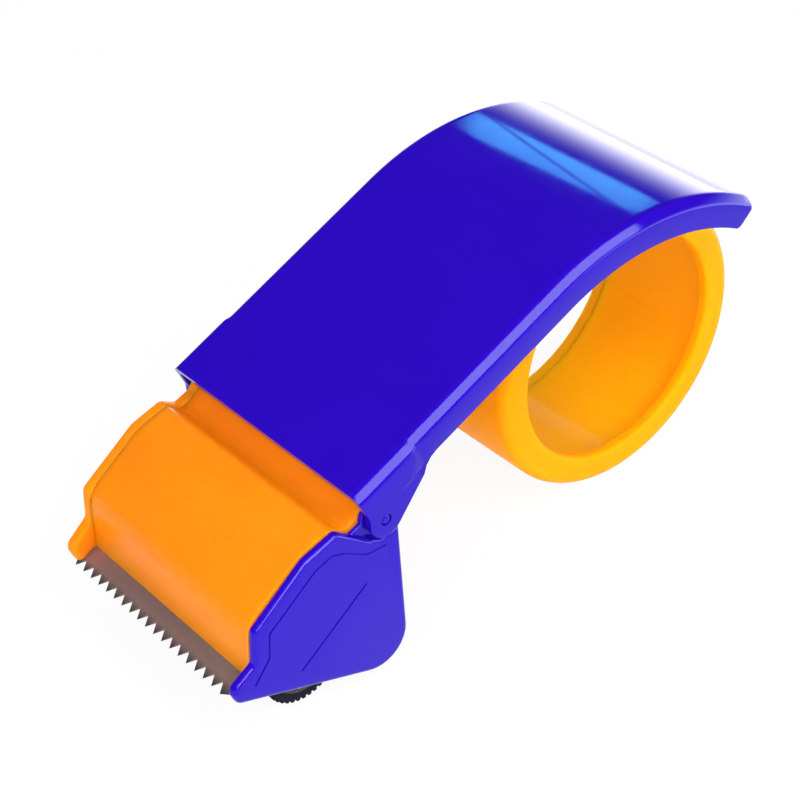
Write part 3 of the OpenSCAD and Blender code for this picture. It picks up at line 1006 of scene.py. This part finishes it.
blade_screw = pan_head("blade_screw", 2.0, 1.2, 1.1, 4.0)
upright = Matrix(((0, 1, 0), (BLADE_UP.x, 0, BLADE_BACK.x), (BLADE_UP.y, 0, BLADE_BACK.y))).to_4x4()
blade_set = []
for side in (-BLADE_SCREW_X, BLADE_SCREW_X):
    seated = Matrix.Translation(at(side, *on_blade(11, -2.0))) @ upright @ Matrix.Translation(-at(0, 0, 0))
    blade_set.append(copy_of(blade_screw, seated))
bpy.data.objects.remove(blade_screw)
mounted(joined("blade_screw_set", blade_set), "frame", "blade_screws", zinc)

pin_profile = [
    (WALL_IN, 0), (WALL_IN, PIN_R), (PIN_END - 0.45, PIN_R),
    (PIN_END - 0.2, 0.85 * PIN_R), (PIN_END - 0.05, 0.5 * PIN_R), (PIN_END, 0),
]
pin = turned("hinge_pin", pin_profile, HINGE, steps=40)
left_pin = copy_of(pin, Matrix.Scale(-1, 4, (1, 0, 0)))
pins = joined("hinge_pin_pair", [smooth(pin, 60), smooth(left_pin, 60)])
mounted(pins, "frame", "hinge_pins", blue_plastic)

# %% [markdown]
# The blade is a strip with nineteen teeth along one edge. Its outline is drawn flat on the blade's plane
# and pushed up by its thickness, and a very small bevel keeps the edges from looking like paper. The grain
# of the steel runs along the strip, which is a warm brownish grey. Where the teeth were ground it is a
# plain dark grey.

# %% Blade steel
GROUND_FROM = 0.7
GROUND_TO = 2.7
GROUND_GREY = (0.036, 0.034, 0.036)
STRIP_GREY = (0.31, 0.205, 0.19)


def ground_steel(name, tip, back):
    finish = Finish(name, Metallic=0.5)
    grain = finish.noise(900, detail=4, stretch=ALONG_X)
    stain = finish.noise(160, detail=4)
    depth = (finish.axis("Y") - tip.y) * back.x + (finish.axis("Z") - tip.z) * back.y
    band = {"Value": depth, "From Min": GROUND_FROM * MM, "From Max": GROUND_TO * MM}
    whole = finish.node("MapRange", {}, band)
    tint = 0.12 + whole * (0.56 + 0.2 * grain + 0.14 * stain)
    return finish.set(
        Base_Color=finish.blend(tint, GROUND_GREY, STRIP_GREY),
        Roughness=0.38 + 0.14 * grain + 0.08 * stain,
        Normal=finish.bump(grain, 0.12, 0.02),
    )


blade_steel = ground_steel("stamped_blade", at(0, *blade_tip), BLADE_BACK)
print("blade finish:", blade_steel.name)

# %% Serrated blade
TEETH = 19
TOOTH_DEPTH = 2.6
GRIND = 0.8
NEAR_TIP = 0.1
pitch = (WALL_OUT + WALL_IN) / TEETH
outline = []
for i in range(TEETH):
    outline += [(-WALL_OUT + i * pitch, TOOTH_DEPTH), (-WALL_OUT + (i + 0.5) * pitch, 0)]
outline += [(PANEL_IN, TOOTH_DEPTH), (PANEL_IN, BLADE_DEPTH), (-WALL_OUT, BLADE_DEPTH)]
blade = ring("serrated_blade", [at(x, *on_blade(back, -BLADE_T)) for x, back in outline], fill="NGON")
edit(blade)
rise = (0, BLADE_UP.x * BLADE_T * MM, BLADE_UP.y * BLADE_T * MM)
bpy.ops.mesh.extrude_region_move(TRANSFORM_OT_translate={"value": rise})
done()
clean(blade)


def is_ground(co):
    """True for the lower corner of a tooth's point, which the grinding takes away."""
    step = Vector(from_drum(co)) - Vector(blade_tip)
    return step.dot(BLADE_BACK) < NEAR_TIP and step.dot(BLADE_UP) < -BLADE_T / 2


select_points(blade, is_ground)
bpy.ops.transform.translate(value=[GRIND * step for step in rise])
done()
soften(blade, 0.04, segments=2, angle=20)
mounted(blade, "frame", "cutting_blade", blade_steel)

# %% [markdown]
# The rubber sleeve has forty straight ribs. Its end view is one closed outline with five points to a rib,
# and the rubber's edges are soft.

# %% Roller sleeve and the CAD pieces that stay
RIBS = 40
RIB_R = 10.0
ROOT_R = 9.4
SLEEVE_HALF = 26.2
SLEEVE_BORE = 7.5
rib = [(-0.28, RIB_R), (0, RIB_R), (0.28, RIB_R), (0.36, ROOT_R), (0.64, ROOT_R)]
rib_outline = []
for i in range(RIBS):
    for part, radius in rib:
        rib_outline += arc(ROLLER, radius, (i + part) * 360 / RIBS, 0, 1)[:1]
sleeve = plate("roller_rubber", rib_outline, -SLEEVE_HALF, SLEEVE_HALF, holes=[(*ROLLER, SLEEVE_BORE)])
soften(sleeve, 0.15, segments=2, angle=40)
mounted(sleeve, "roller", "roller_sleeve", black_rubber)
kept = {
    "roller_axle": bar_steel,
    "roller_bushes": nylon,
    "roller_core": core_plastic,
    "blade_bar": bar_steel,
}
for name, finish in kept.items():
    frame["nodes"][name].data.materials[0] = finish
print("kept from the CAD model:", ", ".join(kept))

# %% [markdown]
# ## Stage, light and camera
# The dispenser stands on a white sweep. To the camera and to reflections the floor is plain white, but its
# diffuse part still takes the object's shadow.

# %% Floor
FLOOR_SIZE = 1.8
FLOOR_DROP = 0.0002
FLOOR_WHITE = 0.92
view = bpy.context.scene.view_settings
view.view_transform = "Standard"
bpy.ops.object.select_all(action="DESELECT")
bpy.ops.mesh.primitive_plane_add(size=FLOOR_SIZE, location=(0, 0, -FLOOR_DROP))
floor = bpy.context.object
floor.name = "studio_floor"
floor_finish = Finish("white_sweep", Base_Color=(0.9, 0.9, 0.9, 1))
floor_finish.set(Roughness=0.85 + 0.1 * floor_finish.noise(30))
tree = floor_finish.tree
glow = tree.nodes.new("ShaderNodeEmission")
mix = tree.nodes.new("ShaderNodeMixShader")
rays = tree.nodes.new("ShaderNodeLightPath")
shown = [Wire(tree, rays.outputs[f"Is {kind} Ray"]) for kind in ("Camera", "Glossy", "Transmission")]
plug(tree, mix.inputs[0], FLOOR_WHITE * (shown[0] + shown[1] + shown[2]))
tree.links.new(floor_finish.shader.outputs[0], mix.inputs[1])
tree.links.new(glow.outputs[0], mix.inputs[2])
tree.links.new(mix.outputs[0], tree.nodes["Material Output"].inputs[0])
floor.data.materials.append(floor_finish.material)
print("floor:", floor.name)

# %% [markdown]
# The world is white to the camera. As light it is a soft grey, and in reflections it is dark except for a
# bright band low at the rear.

# %% World
GLOSS_SKY = 0.06
SWEEP_GLOW = 5.5
AMBIENT = 0.51
world = bpy.data.worlds.new("studio_world")
bpy.context.scene.world = world
world.use_nodes = True
tree = world.node_tree
background = tree.nodes["Background"]
background.inputs["Color"].default_value = (1, 1, 1, 1)
rays = tree.nodes.new("ShaderNodeLightPath")
where = tree.nodes.new("ShaderNodeTexCoord")
axes = tree.nodes.new("ShaderNodeSeparateXYZ")
tree.links.new(where.outputs["Generated"], axes.inputs[0])
up = Wire(tree, axes.outputs["Z"])
back = Wire(tree, axes.outputs["Y"])


def sky_ramp(value, start, end):
    """Rises softly from 0 to 1 as the value goes from start to end."""
    ramp = tree.nodes.new("ShaderNodeMapRange")
    ramp.interpolation_type = "SMOOTHSTEP"
    ramp.inputs["From Min"].default_value = start
    ramp.inputs["From Max"].default_value = end
    plug(tree, ramp.inputs["Value"], value)
    return Wire(tree, ramp.outputs[0])


glossy = Wire(tree, rays.outputs["Is Glossy Ray"])
seen = Wire(tree, rays.outputs["Is Camera Ray"]) + Wire(tree, rays.outputs["Is Transmission Ray"])
plain = 1.0 - glossy - seen
sweep = sky_ramp(back, 0.2, 0.6) * sky_ramp(up, 0.42, 0.04)
reflected = GLOSS_SKY + SWEEP_GLOW * sweep
plug(tree, background.inputs["Strength"], seen + glossy * reflected + plain * AMBIENT)
print("world:", world.name)

# %% [markdown]
# Four soft boxes light it from the right and the front. Reflections see only the small edge box, because
# images of the key and the fill would lie over the colours. The fourth box reaches the drum alone, which
# would be dull in the cover's shade.


# %% Lamps
def softbox(name, place, aim, width, height, power):
    lamp = bpy.data.lights.new(name, "AREA")
    lamp.shape = "RECTANGLE"
    lamp.size = width
    lamp.size_y = height
    lamp.energy = power
    stand = bpy.data.objects.new(name, lamp)
    stand.location = place
    stand.rotation_euler = (Vector(aim) - Vector(place)).to_track_quat("-Z", "Y").to_euler()
    bpy.context.collection.objects.link(stand)
    return stand


def shine_only_on(source, name, piece):
    """Lets a lamp or a card reach one piece alone, and gives back the collection that says so."""
    target = bpy.data.collections.new(name)
    target.objects.link(piece)
    source.light_linking.receiver_collection = target
    return target


middle = at(0, -45, 0)
key = softbox("key_box", middle + 1.1 * Vector((0.7, 0.1, 0.69)), middle, 0.4, 1.1, 9.6)
softbox("edge_box", middle + 1.1 * Vector((0.78, -0.42, 0.46)), middle, 0.3, 0.3, 2)
fill = softbox("front_fill", middle + 1.2 * Vector((0.42, -0.72, 0.55)), middle, 0.6, 0.6, 9.2)
drum_middle = at(0, 0, 0)
drum_fill = softbox("drum_fill", drum_middle + 0.8 * Vector((0, -0.98, 0.1)), drum_middle, 0.2, 0.2, 1.6)
key.visible_glossy = fill.visible_glossy = drum_fill.visible_glossy = False
drum_fill.light_linking.blocker_collection = shine_only_on(drum_fill, "drum_lit", drum)
print("four soft boxes stand round", [round(v, 3) for v in middle])

# %% [markdown]
# Glossy plastic shows its surroundings. Flat cards stand in for them, and only reflections see these cards.
# The crown shows a window with two panes, in the direction in which it looks back at the camera.


# %% Cards and the window
def card(name, centre, facing, corners, strength, colour=(1, 1, 1, 1)):
    """A glowing flat shape. Its corners lie across and above the centre, in millimetres."""
    across = facing.cross((0, 0, 1)).normalized()
    rise = across.cross(facing)
    piece = ring(name, [centre + (a * across + b * rise) * MM for a, b in corners], fill="NGON")
    glow = {"Emission_Color": colour, "Emission_Strength": strength}
    light = Finish(name + "_light", Base_Color=(0, 0, 0, 1), **glow)
    piece.data.materials.append(light.material)
    piece.visible_camera = piece.visible_diffuse = piece.visible_shadow = False
    print("card:", name)
    return piece


def oblong(across, up):
    return [(-across, -up), (across, -up), (across, up), (-across, up)]


SKY = (0.1, 0.58, 1.0, 1)
CARD_AWAY = 0.5
to_window = Vector((-0.627, 0.588, 0.51))
window = at(1.9, -15.6, 50.1) + CARD_AWAY * to_window
card("left_pane", window, to_window, [(-74, 35), (1, 50), (-15, -60), (-24, -52)], 9.0, SKY)
card("right_pane", window, to_window, [(8, 52), (14, 53), (38, 27), (72, -36), (-9, -60)], 9.0, SKY)

# %% [markdown]
# Behind the crown the studio is bright, so the rear of the cover fades to white. On the right a strip card
# lights the flat along the cover's edge, and a lower one draws a thin line on the rounded edges of the
# cheek, while the flat faces look past it to the floor. The lower one is linked to the cheek alone, because
# from the left side the cover would mirror it.

# %% White cards
rear_place = Vector((-0.15, cad_high.y + 0.13, 0.04))
card("rear_card", rear_place, Vector((0, 1, 0)), oblong(250, 40), 2.8)
to_strip = Vector((0.747, 0.09, 0.656)).normalized()
card("strip_card", at(29, -60, 25) + CARD_AWAY * to_strip, to_strip, oblong(280, 110), 9.0)
to_edge = Vector((0.93, -0.13, 0.33)).normalized()
edge_card = card("edge_card", at(31, -112, -2) + CARD_AWAY * to_edge, to_edge, oblong(170, 80), 14.0)
shine_only_on(edge_card, "edge_lit", cheek)

# %% [markdown]
# The camera stands to the right, in front and above. Its place was found by matching the drum's ring, the
# roller and the cover's corners, and it is tipped by a quarter of a degree.

# %% Camera
LENS = 91.4
EYE = (286.71, -300.23, 259.46)
TARGET = (0, -59.4, 5.0)
ROLL = math.radians(0.26)
camera = bpy.data.cameras.new("photo_camera")
camera.lens = LENS
camera.sensor_width = 36
eye = bpy.data.objects.new("photo_camera", camera)
eye.location = at(*EYE)
gaze = at(*TARGET) - eye.location
turn = gaze.to_track_quat("-Z", "Y").to_matrix().to_4x4()
eye.rotation_euler = (turn @ Matrix.Rotation(ROLL, 4, "Z")).to_euler()
bpy.context.collection.objects.link(eye)
bpy.context.scene.camera = eye
print("camera at", [round(v, 3) for v in eye.location])
